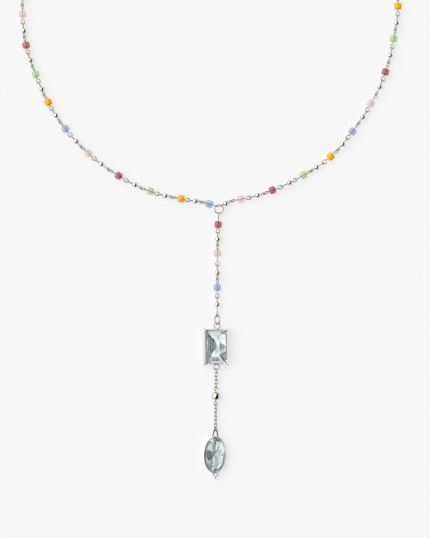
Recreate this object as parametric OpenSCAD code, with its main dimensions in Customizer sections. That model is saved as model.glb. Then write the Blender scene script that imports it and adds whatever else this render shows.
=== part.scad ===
// Y necklace lying flat: a rosary-style loop of glass beads and silver balls on eyed wires,
// with a drop that ends in a rectangular and an oval crystal.
// The origin is the centre of the rectangular setting's back. +Y runs from the drop to the neck, +Z is up.

/* [Neck loop] */
// Radius of the neck loop on its wires' centre line
loop_r = 67.9; // [66.5:0.1:72]
// Sideways place of the loop's centre
loop_x = -2.2; // [-4:0.1:0]
// Distance from the rectangular setting's centre to the loop's centre
loop_y = 121.1; // [120.8:0.1:121.8]
// How far the drop pulls the loop down into its point
point_depth = 2.0; // [1.6:0.1:2.4]
// How far round the loop that pull reaches, in degrees
point_reach = 14; // [12:1:18]
// How far the loop's flanks lie inside its round
flank_in = 0.9; // [0:0.1:1.2]

/* [Beads] */
// Length of a glass bead along its wire
bead_len = 2.44; // [2:0.02:2.5]
// Width of a glass bead across its flats
bead_w = 2.6; // [2.4:0.05:3]
// Width of the bevels along a bead's long edges
bead_bevel = 0.55; // [0.3:0.05:0.8]
// Width of the bevels round a bead's ends
bead_end_bevel = 0.4; // [0.2:0.05:0.5]
// Diameter of a small silver ball
ball_d = 1.9; // [1.6:0.05:2]
// Diameter of the hole through a bead or a small ball
hole_d = 0.6; // [0.5:0.05:0.7]

/* [Wires] */
// Diameter of the wire that the eyes are bent from
eye_wire_d = 0.36; // [0.3:0.01:0.38]
// Diameter of the straight wire through a bead
pin_wire_d = 0.33; // [0.26:0.01:0.34]
// Length of a bead wire's eye between wire centres
eye_len = 1.6; // [1.5:0.02:1.66]
// Width of a bead wire's eye between wire centres
eye_w = 1.2; // [1.1:0.02:1.3]
// Size of a ball wire's round eye between wire centres
round_eye = 1.24; // [1.2:0.01:1.28]
// Clear space between two wires that hook each other
wire_gap = 0.12; // [0.1:0.01:0.14]

/* [Rings] */
// Diameter of the wire of the jump rings
ring_wire_d = 0.4; // [0.36:0.01:0.42]
// Outer diameter of the ring that joins the loop and the drop
join_ring_d = 3.5; // [3.4:0.05:3.6]
// Outer diameter of the ring above the rectangular setting
upper_ring_d = 3.7; // [3.6:0.05:3.8]
// How far that ring is turned up from flat, in degrees
upper_ring_turn = 58; // [50:1:60]
// Outer diameter of the small ring above the oval setting
small_ring_d = 1.86; // [1.8:0.02:1.9]

/* [Rectangular crystal] */
// Width of the rectangular stone
rect_w = 7.6; // [7.2:0.1:8]
// Length of the rectangular stone
rect_l = 11.9; // [11.4:0.1:12]
// Length of its cut corners along each side
rect_cut = 1.3; // [1:0.1:1.5]
// Width of the setting at its foot
rect_foot_w = 9.5; // [9.3:0.1:9.9]
// Length of the setting at its foot
rect_foot_l = 12.9; // [12.7:0.1:13]
// Height of the setting's wall
rect_wall_h = 3.0; // [2.9:0.1:3.1]
// Height of the stone's table above the floor
rect_table_z = 4.2; // [4:0.1:4.4]

/* [Oval crystal] */
// Width of the oval stone
oval_w = 7.7; // [7.4:0.1:8]
// Length of the oval stone
oval_l = 12.9; // [12.4:0.1:13]
// Thickness of the rim round the oval stone
oval_rim = 0.2; // [0.2:0.05:0.4]
// Height of the rim
oval_wall_h = 2.2; // [2.1:0.1:2.3]
// Height of the oval stone's table above the floor
oval_table_z = 3.6; // [3.4:0.1:3.8]
// Turn of the oval drop as it lies, in degrees
oval_turn = -2; // [-4:1:0]

/* [Drop] */
// Diameter of the large silver ball
big_ball_d = 3.2; // [3:0.1:3.2]
// Diameter of the wire of the fine chains
chain_wire_d = 0.3; // [0.26:0.01:0.32]
// Width of a chain link between wire centres
chain_link_w = 0.88; // [0.86:0.01:0.92]

/* [Clasp] */
// Diameter of the barrel clasp at the back of the neck
clasp_d = 2.6; // [2.2:0.1:2.6]
// Length of the barrel
clasp_len = 7.6; // [6:0.1:8]

/* [Hidden] */
$fn = 48;

PINK = 0;
PLUM = 1;
GREEN = 2;
AMBER = 3;
BLUE = 4;
TINTS = ["mistyrose", "rosybrown", "palegreen", "orange", "cornflowerblue"];

// The beads in view, from the loop's left side past the drop to its right side, with the columns
// degrees round the loop from the drop, share of the way to the next bead at which the ball sits,
// millimetres that the bead lies outside the loop's plain line
BEAD_ROWS = [
    [-88.6, 0.53, 0],
    [-79.1, 0.50, 0.3],
    [-69.6, 0.52, -0.2],
    [-60.3, 0.48, 0.1],
    [-50.5, 0.49, 0.2],
    [-40.2, 0.44, 0.1],
    [-28.8, 0.52, 0.2],
    [-18.1, 0.49, 0.5],
    [-8.7, 0.50, -0.2],
    [-0.1, 0.44, -0.5],
    [9.3, 0.52, 0.3],
    [19.1, 0.54, 0.4],
    [29.5, 0.46, 0.3],
    [39.4, 0.52, 1],
    [49.5, 0.53, 0.1],
    [59.8, 0.54, 0.1],
    [70.5, 0.51, 0.1],
    [81.0, 0.49, -0.4],
    [91.1, 0.50, 0.3]];
DEG = 0;
BALL_SHARE = 1;
OUT = 2;
bead_places = 36;
drop_place = 9;
clasp_place = 27;
seen = len(BEAD_ROWS);
hidden_step = (360 + BEAD_ROWS[0][DEG] - BEAD_ROWS[seen - 1][DEG]) / (bead_places - seen + 1);

eye_r = eye_wire_d / 2;
pin_r = pin_wire_d / 2;
ring_r = ring_wire_d / 2;
chain_r = chain_wire_d / 2;
hook = eye_r + wire_gap / 2;
chain_hook = chain_r + wire_gap / 2;
wire_z = bead_w / 2;
seat_gap = 0.1;
side_in = 0.03;
side_thin = 0.01;

// How far a bead's or a ball's centre lies at least from the point where its wire hooks the next
bead_reach = bead_len / 2 + seat_gap + eye_len + eye_r - hook;
ball_reach = ball_d / 2 + seat_gap + round_eye + eye_r - hook;
big_ball_reach = big_ball_d / 2 + seat_gap + round_eye + eye_r - hook;

// Turns of the eyes about their wires, from flat. Two slanted eyes hook each other 66 degrees apart.
open_turn = 0;
upright_turn = 90;
slant_turn = 57;

// From this bead on, up to the clasp, the flat eyes are on the left side of the beads
flip_place = 12;

// The ring that joins loop and drop. Three eyes hook it, each some degrees round it and some way in.
join_c = [1.05, 49.4, wire_z];
join_r = join_ring_d / 2 - ring_r;
join_left = 122;
join_right = 68;
join_bottom = 268;
join_side_in = 0.31;
join_bottom_in = 0.26;

// The drop's wires from the top down, with the columns x and y of the hook at the wire's lower end,
// distance from its upper hook to its bead or ball
lift_z = 1.6;
DROP_ROWS = [
    [0.60, 40.9, 4.26],
    [0.55, 36.4, 2.25],
    [0.45, 29.2, 2.90],
    [0.50, 24.2, 2.70],
    [0.40, 17.6, 2.95],
    [0.45, 11.0, 2.45]];
SEAT = 2;
drop_wires = len(DROP_ROWS);

upper_ring_r = upper_ring_d / 2 - ring_r;
upper_ring_c = [0.42, DROP_ROWS[drop_wires - 1].y + ring_r + wire_gap / 2 - upper_ring_r, lift_z];

// The wire loops soldered to the rectangular setting's two ends
loop_wire_r = 0.21;
top_loop_r = 1.05;
top_loop_lap = 0.55;
top_loop_c = [0.36, upper_ring_c.y - upper_ring_r + top_loop_lap - top_loop_r, lift_z];
bottom_loop_r = 1.0;
bottom_loop_c = [0.15, -7.3, lift_z];

// Heights and widths of the rectangular setting, from its floor up to its drawn-in top
rect_floor = 0.5;
rect_bevel_z = 1.2;
rect_ledge_z = 1.9;
rect_ledge = 0.5;
rect_top_wall = [0.25, 0.2];
rect_top_w = rect_w + 2 * (seat_gap + rect_top_wall.x);
rect_top_l = rect_l + 2 * (seat_gap + rect_top_wall.y);

// Heights of the rectangular stone, how far its facets lie in, and the half length of its keel
rect_keel_z = 0.8;
rect_girdle_z = 2.6;
rect_crown_z = 2.85;
rect_step_z = 3.6;
rect_step_in = 0.5;
rect_table_in = 1.25;
rect_keel = 2.3;

// The claws, which lean in from their feet over the stone's cut corners
prong_r = 0.42;
prong_foot_r = 0.44;
prong_foot_z = 0.6;
prong_tip_r = 0.48;
prong_tip_out = 0.28;
prong_tip_z = 3.5;
top_foot = [4.35, 6.15];
bottom_foot = [4.25, 6.35];

ball_c = [-0.07, -17.8, lift_z];
upper_chain_from = [
    bottom_loop_c.x,
    bottom_loop_c.y - bottom_loop_r + loop_wire_r + wire_gap / 2,
    lift_z];
upper_chain_to = [-0.04, -14.7, lift_z];
upper_links = 5;
upper_link_turn = 75;
lower_chain_from = [-0.10, -20.9, lift_z];
lower_links = 6;
lower_link_turn = 60;

// Heights of the oval setting and its stone, and the setting's inner and outer half widths and lengths
oval_c = [-0.5, -38.8, 0];
oval_floor = 0.5;
oval_ledge_z = 1.4;
oval_ledge = 0.6;
oval_keel_z = 0.75;
oval_girdle_z = 2.0;
oval_crown_z = 2.2;
oval_seat = [oval_w / 2 + seat_gap, oval_l / 2 + seat_gap];
oval_outer = [oval_seat.x + oval_rim, oval_seat.y + oval_rim];
oval_inner = [oval_w / 2 - oval_ledge, oval_l / 2 - oval_ledge];
oval_steps = 48;

// The bail over the oval and the berries under it, in the oval drop's own plan
bail_r = 0.56;
bail_wire_r = 0.2;
bail_y = 8.36;
bail_foot = [0.9, 6.5];
berry_r = 0.6;
berry_out = 0.68;
berry_side = 0.35;
berry_y = -7.25;
berry_drop = 0.95;
small_ring_r = small_ring_d / 2 - eye_r;
small_ring_y = bail_y + bail_r - bail_wire_r - eye_r - wire_gap + small_ring_r;
small_ring_turn = -60;
small_ring_c = on_oval([0, small_ring_y]);
lower_chain_to = on_oval([0, small_ring_y + small_ring_r - hook]);

// A point of the oval drop's own plan, where it lies in the necklace, at the height of the wires
function on_oval(p) = [
    oval_c.x + p.x * cos(oval_turn) - p.y * sin(oval_turn),
    oval_c.y + p.x * sin(oval_turn) + p.y * cos(oval_turn),
    wire_z];

// The loop's radius some degrees round from the drop, either way
function radius_at(deg) =
    let (side = min(abs(deg), 360 - abs(deg)))
    let (flank = side > 20 && side < 110 ? pow(sin(2 * (side - 20)), 2) : 0)
    loop_r + point_depth * exp(-side / point_reach) - flank_in * flank;

function on_loop(deg, out) = [
    loop_x + (radius_at(deg) + out) * sin(deg),
    loop_y - (radius_at(deg) + out) * cos(deg),
    wire_z];

function bead_deg(k) = k < seen
    ? BEAD_ROWS[k][DEG]
    : BEAD_ROWS[seen - 1][DEG] + (k - seen + 1) * hidden_step;
function ball_share(k) = k < seen ? BEAD_ROWS[k][BALL_SHARE] : 0.5;
function bead_out(k) = k < seen ? BEAD_ROWS[k][OUT] : 0;
function bead_place(k) = on_loop(bead_deg(k), bead_out(k));
function ball_place(k) = on_loop(
    bead_deg(k) + ball_share(k) * (bead_deg(k + 1) - bead_deg(k)),
    bead_out(k) + ball_share(k) * (bead_out(k + 1) - bead_out(k)));

// The hook between p and q, whose pieces reach at least p_reach and q_reach towards it
function hook_between(p, q, p_reach, q_reach) =
    let (spare = norm(q - p) - p_reach - q_reach)
    p + (q - p) / norm(q - p) * (p_reach + spare / 2);

function on_join_ring(deg, in) = join_c + (join_r - in) * [cos(deg), sin(deg), 0];

// The hooks of wire k of the loop: left of its bead, right of its bead, left of its ball, right of its ball
function left_of_bead(k) = k == clasp_place + 1
    ? bead_place(k) + unit(bead_place(clasp_place) - bead_place(k)) * bead_reach
    : right_of_ball((k + bead_places - 1) % bead_places);
function right_of_bead(k) = k == drop_place
    ? on_join_ring(join_left, join_side_in)
    : hook_between(bead_place(k), ball_place(k), bead_reach, ball_reach);
function left_of_ball(k) = k == drop_place ? on_join_ring(join_right, join_side_in) : right_of_bead(k);
function right_of_ball(k) = k == clasp_place - 1
    ? ball_place(k) + unit(bead_place(clasp_place) - ball_place(k)) * ball_reach
    : hook_between(ball_place(k), bead_place(k + 1), ball_reach, bead_reach);
function unit(v) = v / norm(v);

// The turns of the left and the right eye of the wires through bead k and ball k. The flat eyes are on the side
// of the beads that faces the drop, but for the two beads before flip_place.
function flat_right(k) = k < flip_place || k > clasp_place;
function bead_turns(k) = flat_right(k)
    ? [slant_turn, k == drop_place ? upright_turn : open_turn]
    : [k == flip_place ? upright_turn : open_turn, slant_turn];
function ball_turns(k) = flat_right(k)
    ? [upright_turn, k == flip_place - 1 ? open_turn : slant_turn]
    : [slant_turn, upright_turn];

// The point of the line from a to b that is as far from a as p is, if the piece's reach allows
function seat_on(a, b, p, reach) =
    a + unit(b - a) * min(max(norm(p - a), reach), norm(b - a) - reach);

// The colours run on in turn from the clasp's left side right round to its right side
function tint_of(k) = (k < clasp_place ? k : k + 4 * bead_places) % len(TINTS);
function bead_numbers(tint) = [
    for (k = [0 : bead_places - 1])
        if (k != clasp_place && tint_of(k) == tint) k];

function drop_hook(i) = i == 0
    ? on_join_ring(join_bottom, join_bottom_in)
    : [DROP_ROWS[i - 1].x, DROP_ROWS[i - 1].y, i == drop_wires ? lift_z : wire_z];

// Carries its children from the x axis to the line from p to q
module along(p, q) {
    v = q - p;
    translate(p) rotate([0, -asin(v.z / norm(v)), atan2(v.y, v.x)]) children();
}

// A ring in the plane z = 0, by the radius of its wire's centre line
module ring(r, wire_r) {
    rotate_extrude() translate([r, 0]) circle(r = wire_r);
}

// A wire loop with its far end at the origin and its near end at x = length. Its straight sides are a hair
// thinner than its bends and run a little way into them.
module long_eye(length, width, wire_r) {
    bend = width / 2;
    translate([bend, 0, 0]) rotate([0, 0, 90]) half_ring(bend, wire_r);
    translate([length - bend, 0, 0]) rotate([0, 0, -90]) half_ring(bend, wire_r);
    for (side = [-1, 1])
        translate([bend - side_in, side * bend, 0]) rotate([0, 90, 0])
            cylinder(r = wire_r - side_thin, h = length - width + 2 * side_in);
}

module half_ring(r, wire_r) {
    rotate_extrude(angle = 180) translate([r, 0]) circle(r = wire_r);
}

module round_eye() {
    translate([round_eye / 2, 0, 0]) ring(round_eye / 2, eye_r);
}

// A wire from hook p to hook q with an eye at each end, each turned about the wire
module bead_wire(p, q, turns) {
    reach = norm(q - p);
    neck = eye_len - hook;
    along(p, q) {
        translate([-hook, 0, 0]) rotate([turns[0], 0, 0]) long_eye(eye_len, eye_w, eye_r);
        translate([reach + hook, 0, 0]) rotate([turns[1], 0, 180]) long_eye(eye_len, eye_w, eye_r);
        translate([neck, 0, 0]) rotate([0, 90, 0]) cylinder(r = pin_r, h = reach - 2 * neck);
    }
}

module ball_wire(p, q, turns) {
    reach = norm(q - p);
    neck = round_eye - hook;
    along(p, q) {
        translate([-hook, 0, 0]) rotate([turns[0], 0, 0]) round_eye();
        translate([reach + hook, 0, 0]) rotate([turns[1], 0, 180]) round_eye();
        translate([neck, 0, 0]) rotate([0, 90, 0]) cylinder(r = pin_r, h = reach - 2 * neck);
    }
}

// A short glass bead with bevelled edges, drilled along x
module glass_bead() {
    difference() {
        intersection() {
            rotate([90, 0, 90]) bevelled_bar(bead_w, bead_w, bead_bevel);
            rotate([90, 0, 0]) bevelled_bar(bead_len, bead_w, bead_end_bevel);
            bevelled_bar(bead_len, bead_w, bead_end_bevel);
        }
        translate([-bead_len, 0, 0]) rotate([0, 90, 0]) cylinder(d = hole_d, h = 2 * bead_len);
    }
}

// A rectangle with bevelled corners, drawn out far enough along z to cut a whole bead
module bevelled_bar(w, h, bevel) {
    translate([0, 0, -bead_w]) linear_extrude(2 * bead_w) polygon(cut_rect(w, h, bevel));
}

// A ball drilled along x
module silver_ball(d) {
    rotate([0, 90, 0]) rotate_extrude() difference() {
        circle(d = d);
        translate([-d, -d]) square([d + hole_d / 2, 2 * d]);
    }
}

// Puts its children on the wire from p to q, as near to the point seat as their reach to the hooks allows
module threaded(p, q, seat, reach) {
    along(seat_on(p, q, seat, reach), q) children();
}

module neck_beads(tint) {
    color(TINTS[tint])
        for (k = bead_numbers(tint))
            threaded(left_of_bead(k), right_of_bead(k), bead_place(k), bead_reach) glass_bead();
}

module neck_balls() {
    color("silver")
        for (k = [0 : bead_places - 1])
            if (k != clasp_place)
                threaded(left_of_ball(k), right_of_ball(k), ball_place(k), ball_reach)
                    silver_ball(ball_d);
}

module neck_bead_wires() {
    color("silver")
        for (k = [0 : bead_places - 1])
            if (k != clasp_place)
                bead_wire(left_of_bead(k), right_of_bead(k), bead_turns(k));
}

module neck_ball_wires() {
    color("silver")
        for (k = [0 : bead_places - 1])
            if (k != clasp_place)
                ball_wire(left_of_ball(k), right_of_ball(k), ball_turns(k));
}

// A plain barrel with an eye at each end
module clasp() {
    p = right_of_ball(clasp_place - 1);
    q = left_of_bead(clasp_place + 1);
    reach = norm(q - p);
    neck = eye_len - hook;
    stem = neck + 0.3;
    stem_r = 0.3;
    end = (reach - clasp_len) / 2 + clasp_d / 2;
    color("silver") along(p, q) {
        translate([-hook, 0, 0]) long_eye(eye_len, eye_w, eye_r);
        translate([reach + hook, 0, 0]) rotate([slant_turn, 0, 180]) long_eye(eye_len, eye_w, eye_r);
        translate([neck, 0, 0]) rotate([0, 90, 0]) cylinder(r = pin_r, h = reach - 2 * neck);
        translate([stem, 0, 0]) rotate([0, 90, 0]) cylinder(r = stem_r, h = reach - 2 * stem);
        translate([end, 0, 0]) rotate([0, 90, 0]) cylinder(d = clasp_d, h = reach - 2 * end);
        for (x = [end, reach - end])
            translate([x, 0, 0]) sphere(d = clasp_d);
    }
}

module join_ring() {
    color("silver") translate(join_c) ring(join_r, ring_r);
}

// Wires 1, 3 and 5 of the drop carry glass beads, and wires 2, 4 and 6 silver balls
module drop_wire(i) {
    upper = drop_hook(i - 1);
    lower = drop_hook(i);
    color("silver")
        if (i % 2 == 1)
            bead_wire(upper, lower, [i == 1 ? upright_turn : slant_turn, open_turn]);
        else
            ball_wire(upper, lower, [upright_turn, slant_turn]);
}

module on_drop(i) {
    upper = drop_hook(i - 1);
    lower = drop_hook(i);
    along(upper + unit(lower - upper) * DROP_ROWS[i - 1][SEAT], lower) children();
}

module drop_bead(i, tint) {
    color(TINTS[tint]) on_drop(i) glass_bead();
}

module drop_ball(i) {
    color("silver") on_drop(i) silver_ball(ball_d);
}

module upper_ring() {
    color("silver") translate(upper_ring_c) rotate([0, -upper_ring_turn, 0]) ring(upper_ring_r, ring_r);
}

// A rectangle with cut corners, as a list of eight points counter-clockwise from the right side's foot
function cut_rect(w, l, cut) = [
    [w / 2, -l / 2 + cut], [w / 2, l / 2 - cut], [w / 2 - cut, l / 2], [-w / 2 + cut, l / 2],
    [-w / 2, l / 2 - cut], [-w / 2, -l / 2 + cut], [-w / 2 + cut, -l / 2], [w / 2 - cut, -l / 2]];

// The same outline moved in by some distance on every side
function cut_rect_in(in) = cut_rect(rect_w - 2 * in, rect_l - 2 * in, rect_cut - in * (2 - sqrt(2)));
function at_height(outline, z) = [for (p = outline) [p.x, p.y, z]];

module rect_setting() {
    color("silver") {
        difference() {
            rect_block();
            translate([0, 0, rect_ledge_z]) linear_extrude(rect_wall_h) polygon(cut_rect_in(-seat_gap));
            translate([0, 0, rect_floor]) linear_extrude(rect_wall_h) polygon(cut_rect_in(rect_ledge));
        }
        for (side = [-1, 1]) {
            prong([side * top_foot.x, top_foot.y], side, 1);
            prong([side * bottom_foot.x, -bottom_foot.y], side, -1);
        }
        translate(top_loop_c) ring(top_loop_r, loop_wire_r);
        translate(bottom_loop_c) ring(bottom_loop_r, loop_wire_r);
    }
}

// The wall's outside: upright at the foot, then drawn in towards the stone
module rect_block() {
    intersection() {
        translate([0, rect_foot_l, 0]) rotate([90, 0, 0]) linear_extrude(2 * rect_foot_l)
            polygon(drawn_in(rect_foot_w / 2, rect_top_w / 2));
        translate([-rect_foot_w, 0, 0]) rotate([90, 0, 90]) linear_extrude(2 * rect_foot_w)
            polygon(drawn_in(rect_foot_l / 2, rect_top_l / 2));
    }
}

function drawn_in(foot, top) = [
    [-foot, 0], [foot, 0],
    [foot, rect_bevel_z], [top, rect_wall_h],
    [-top, rect_wall_h], [-foot, rect_bevel_z]];

// A round claw that leans from its foot over the stone's cut corner
module prong(foot, side, end) {
    tip = [
        side * (rect_w / 2 - rect_cut / 2 + prong_tip_out),
        end * (rect_l / 2 - rect_cut / 2 + prong_tip_out),
        prong_tip_z];
    base = [foot.x, foot.y, prong_foot_z];
    along(base, tip) rotate([0, 90, 0]) cylinder(r = prong_r, h = norm(tip - base));
    translate(base) sphere(r = prong_foot_r);
    translate(tip) sphere(r = prong_tip_r);
}

// Table and two steps above the girdle, and a keel with crossed facets below it
module rect_stone() {
    rings = concat(
        at_height(cut_rect_in(rect_table_in), rect_table_z),
        at_height(cut_rect_in(rect_step_in), rect_step_z),
        at_height(cut_rect_in(0), rect_crown_z),
        at_height(cut_rect_in(0), rect_girdle_z));
    mids = at_height([[rect_w / 2, 0], [0, rect_l / 2], [-rect_w / 2, 0], [0, -rect_l / 2]], rect_girdle_z);
    keel = at_height([[0, rect_keel], [0, -rect_keel]], rect_keel_z);
    crown = 16;
    g = 24;
    m = 32;
    up = 36;
    down = 37;
    table = [for (i = [7 : -1 : 0]) i];
    steps = [for (ring = [0, 8]) for (i = [0 : 7])
        [ring + i, ring + (i + 1) % 8, ring + 8 + (i + 1) % 8, ring + 8 + i]];
    keel_facets = [
        [g + 0, m + 0, down], [m + 0, g + 1, up], [m + 0, up, down],
        [g + 4, m + 2, up], [m + 2, g + 5, down], [m + 2, down, up],
        [g + 2, m + 1, up], [m + 1, g + 3, up],
        [g + 6, m + 3, down], [m + 3, g + 7, down],
        [g + 1, g + 2, up], [g + 3, g + 4, up],
        [g + 5, g + 6, down], [g + 7, g + 0, down]];
    color("lightsteelblue")
        polyhedron(
            points = concat(rings, mids, keel),
            faces = concat([table], steps, girdle_faces(crown, g, m), keel_facets));
}

// The girdle's eight sides, those with a middle point below taking it as a fifth corner
function girdle_faces(top, bottom, mid) = [for (i = [0 : 7])
    let (next = (i + 1) % 8)
    i % 2 == 0
        ? [top + i, top + next, bottom + next, mid + i / 2, bottom + i]
        : [top + i, top + next, bottom + next, bottom + i]];

// One node's loose links from p to q, each turned a quarter from the last
module chain(p, q, count, first_turn) {
    step = norm(q - p) / count;
    along(p, q)
        for (i = [0 : count - 1])
            translate([i * step - chain_hook, 0, 0]) rotate([first_turn + 90 * i, 0, 0])
                long_eye(step + 2 * chain_hook, chain_link_w, chain_r);
}

module upper_chain() {
    color("silver") chain(upper_chain_from, upper_chain_to, upper_links, upper_link_turn);
}

module big_ball() {
    color("silver")
        threaded(upper_chain_to, lower_chain_from, ball_c, big_ball_reach) silver_ball(big_ball_d);
}

module big_ball_wire() {
    color("silver")
        ball_wire(upper_chain_to, lower_chain_from, [upper_link_turn + 90, 90 - lower_link_turn]);
}

module lower_chain() {
    color("silver") chain(lower_chain_from, lower_chain_to, lower_links, lower_link_turn);
}

module small_ring() {
    color("silver")
        translate(small_ring_c) rotate([0, small_ring_turn, oval_turn]) ring(small_ring_r, eye_r);
}

function oval(half) = [for (i = [0 : oval_steps - 1])
    [half.x * cos(i * 360 / oval_steps), half.y * sin(i * 360 / oval_steps)]];

module oval_setting() {
    color("silver") translate(oval_c) rotate([0, 0, oval_turn]) {
        difference() {
            linear_extrude(oval_wall_h) polygon(oval(oval_outer));
            translate([0, 0, oval_ledge_z]) linear_extrude(oval_wall_h) polygon(oval(oval_seat));
            translate([0, 0, oval_floor]) linear_extrude(oval_wall_h) polygon(oval(oval_inner));
        }
        bail();
        berries();
    }
}

// A wire loop with spread legs, soldered to the rim
module bail() {
    translate([0, bail_y, wire_z]) half_ring(bail_r, bail_wire_r);
    for (side = [-1, 1]) {
        top = [side * bail_r, bail_y, wire_z];
        foot = [side * bail_foot.x, bail_foot.y, wire_z];
        along(top, foot) rotate([0, 90, 0]) cylinder(r = bail_wire_r, h = norm(foot - top));
        translate(top) sphere(r = bail_wire_r);
    }
}

// Three small balls soldered in a cluster under the oval
module berries() {
    for (side = [-1, 1])
        translate([berry_side + side * berry_out, berry_y, wire_z]) sphere(r = berry_r);
    translate([berry_side, berry_y - berry_drop, wire_z]) sphere(r = berry_r);
}

// A brilliant cut stretched to the oval: table, stars, kites and girdle facets, and kites below
module oval_stone() {
    half = 180 / 8;
    table_r = 0.58;
    star_r = 0.8;
    low_r = 0.42;
    crown_h = oval_table_z - oval_crown_z;
    star_z = oval_crown_z + crown_h * (1 - star_r * cos(half)) / (1 - table_r);
    low_z = oval_girdle_z - (oval_girdle_z - oval_keel_z) * (1 - low_r * cos(half));
    function at(r, step, z) = [oval_w / 2 * r * cos(step * half), oval_l / 2 * r * sin(step * half), z];
    points = concat(
        [for (i = [0 : 7]) at(table_r, 2 * i, oval_table_z)],
        [for (i = [0 : 7]) at(star_r, 2 * i + 1, star_z)],
        [for (i = [0 : 15]) at(1, i, oval_crown_z)],
        [for (i = [0 : 15]) at(1, i, oval_girdle_z)],
        [for (i = [0 : 7]) at(low_r, 2 * i + 1, low_z)],
        [[0, 0, oval_keel_z]]);
    t = 0;
    s = 8;
    g = 16;
    u = 32;
    p = 48;
    culet = 56;
    faces = concat(
        [[for (i = [7 : -1 : 0]) t + i]],
        [for (i = [0 : 7]) [t + i, t + (i + 1) % 8, s + i]],
        [for (i = [0 : 7]) [t + i, s + i, g + 2 * i, s + (i + 7) % 8]],
        [for (i = [0 : 7]) [s + i, g + 2 * i + 1, g + 2 * i]],
        [for (i = [0 : 7]) [s + i, g + (2 * i + 2) % 16, g + 2 * i + 1]],
        [for (i = [0 : 15]) [g + i, g + (i + 1) % 16, u + (i + 1) % 16, u + i]],
        [for (i = [0 : 7]) [u + 2 * i, u + 2 * i + 1, p + i]],
        [for (i = [0 : 7]) [u + 2 * i + 1, u + (2 * i + 2) % 16, p + i]],
        [for (i = [0 : 7]) [u + 2 * i, p + i, culet, p + (i + 7) % 8]]);
    color("lightsteelblue") translate(oval_c) rotate([0, 0, oval_turn])
        polyhedron(points = points, faces = faces);
}

neck_beads(PINK);  // neck_beads_pink
neck_beads(PLUM);  // neck_beads_plum
neck_beads(GREEN);  // neck_beads_green
neck_beads(AMBER);  // neck_beads_amber
neck_beads(BLUE);  // neck_beads_blue
neck_balls();
neck_bead_wires();
neck_ball_wires();
clasp();
join_ring();
drop_bead(1, PLUM);  // drop_bead_plum
drop_bead(3, PINK);  // drop_bead_pink
drop_bead(5, BLUE);  // drop_bead_blue
drop_ball(2);  // drop_ball_1
drop_ball(4);  // drop_ball_2
drop_ball(6);  // drop_ball_3
drop_wire(1);  // drop_wire_1
drop_wire(2);  // drop_wire_2
drop_wire(3);  // drop_wire_3
drop_wire(4);  // drop_wire_4
drop_wire(5);  // drop_wire_5
drop_wire(6);  // drop_wire_6
upper_ring();
rect_setting();
rect_stone();
upper_chain();
big_ball();
big_ball_wire();
lower_chain();
small_ring();
oval_setting();
oval_stone();
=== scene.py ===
"""A Y necklace of glass beads and silver balls on eyed wires, with its two set crystals.

The pieces are shaped in millimetres and brought to metres when they are finished. The places repeat those of the
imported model, so every piece lies where the solid that it stands for lies.
"""

import math

import bmesh
import bpy
from bmesh.types import BMEdge, BMFace, BMVert
from bpy.props import FloatProperty, FloatVectorProperty, PointerProperty
from bpy.types import Operator, Panel, PropertyGroup
from mathutils import Matrix, Vector


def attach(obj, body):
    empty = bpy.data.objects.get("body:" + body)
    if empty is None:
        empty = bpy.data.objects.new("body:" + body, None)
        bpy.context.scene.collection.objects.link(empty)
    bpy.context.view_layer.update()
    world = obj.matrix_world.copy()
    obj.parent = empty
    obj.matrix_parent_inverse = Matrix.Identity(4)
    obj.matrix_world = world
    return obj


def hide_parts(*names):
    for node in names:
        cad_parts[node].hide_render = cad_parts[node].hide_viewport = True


bl_info = {
    "name": "Y necklace",
    "version": (1, 0, 0),
    "blender": (4, 5, 0),
    "location": "3D View > Sidebar > Necklace",
    "description": "Builds the beads, wires, chains and set crystals of a Y necklace",
    "category": "Add Mesh",
}

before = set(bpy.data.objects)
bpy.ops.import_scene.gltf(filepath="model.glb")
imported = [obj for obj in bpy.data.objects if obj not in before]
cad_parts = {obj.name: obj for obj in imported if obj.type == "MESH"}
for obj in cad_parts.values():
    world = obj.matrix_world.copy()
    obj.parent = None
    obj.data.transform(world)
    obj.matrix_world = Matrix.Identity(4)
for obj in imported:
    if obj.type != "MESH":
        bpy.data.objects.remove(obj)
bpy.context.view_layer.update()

MM = 0.001

# Everything below is in millimetres and degrees.

# The beads in view, from the loop's left side past the drop to its right side: degrees round the loop from the
# drop, the share of the way to the next bead at which the ball sits, and how far outside the plain loop it lies.
BEAD_ROWS = [
    (-88.6, 0.53, 0), (-79.1, 0.5, 0.3), (-69.6, 0.52, -0.2), (-60.3, 0.48, 0.1), (-50.5, 0.49, 0.2),
    (-40.2, 0.44, 0.1), (-28.8, 0.52, 0.2), (-18.1, 0.49, 0.5), (-8.7, 0.5, -0.2), (-0.1, 0.44, -0.5),
    (9.3, 0.52, 0.3), (19.1, 0.54, 0.4), (29.5, 0.46, 0.3), (39.4, 0.52, 1), (49.5, 0.53, 0.1),
    (59.8, 0.54, 0.1), (70.5, 0.51, 0.1), (81, 0.49, -0.4), (91.1, 0.5, 0.3),
]

# The places of beads all round the loop. The joining ring follows the bead at one, and the clasp takes up another.
BEAD_PLACES = 36
DROP_PLACE = 9
CLASP_PLACE = 27
HIDDEN_STEP = (360 + BEAD_ROWS[0][0] - BEAD_ROWS[-1][0]) / (BEAD_PLACES - len(BEAD_ROWS) + 1)

# The colours in turn, with the share of the light that passes through each glass
CLARITY = {"pink": 0.9, "plum": 0.75, "green": 0.85, "amber": 0.3, "blue": 0.8}
TINTS = tuple(CLARITY)

# The loop is round, drawn out to a point at the drop and a little flattened on its flanks.
LOOP_R = 67.9
LOOP_X = -2.2
LOOP_Y = 121.1
POINT_DEPTH = 2.0
POINT_REACH = 14
FLANK_IN = 0.9
FLANK_FROM = 20
FLANK_TO = 110

# The height of the loop's wires and of those about the settings, and the gaps where pieces hook each other or sit
WIRE_Z = 1.3
LIFT_Z = 1.6
WIRE_GAP = 0.12
SEAT_GAP = 0.1

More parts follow.
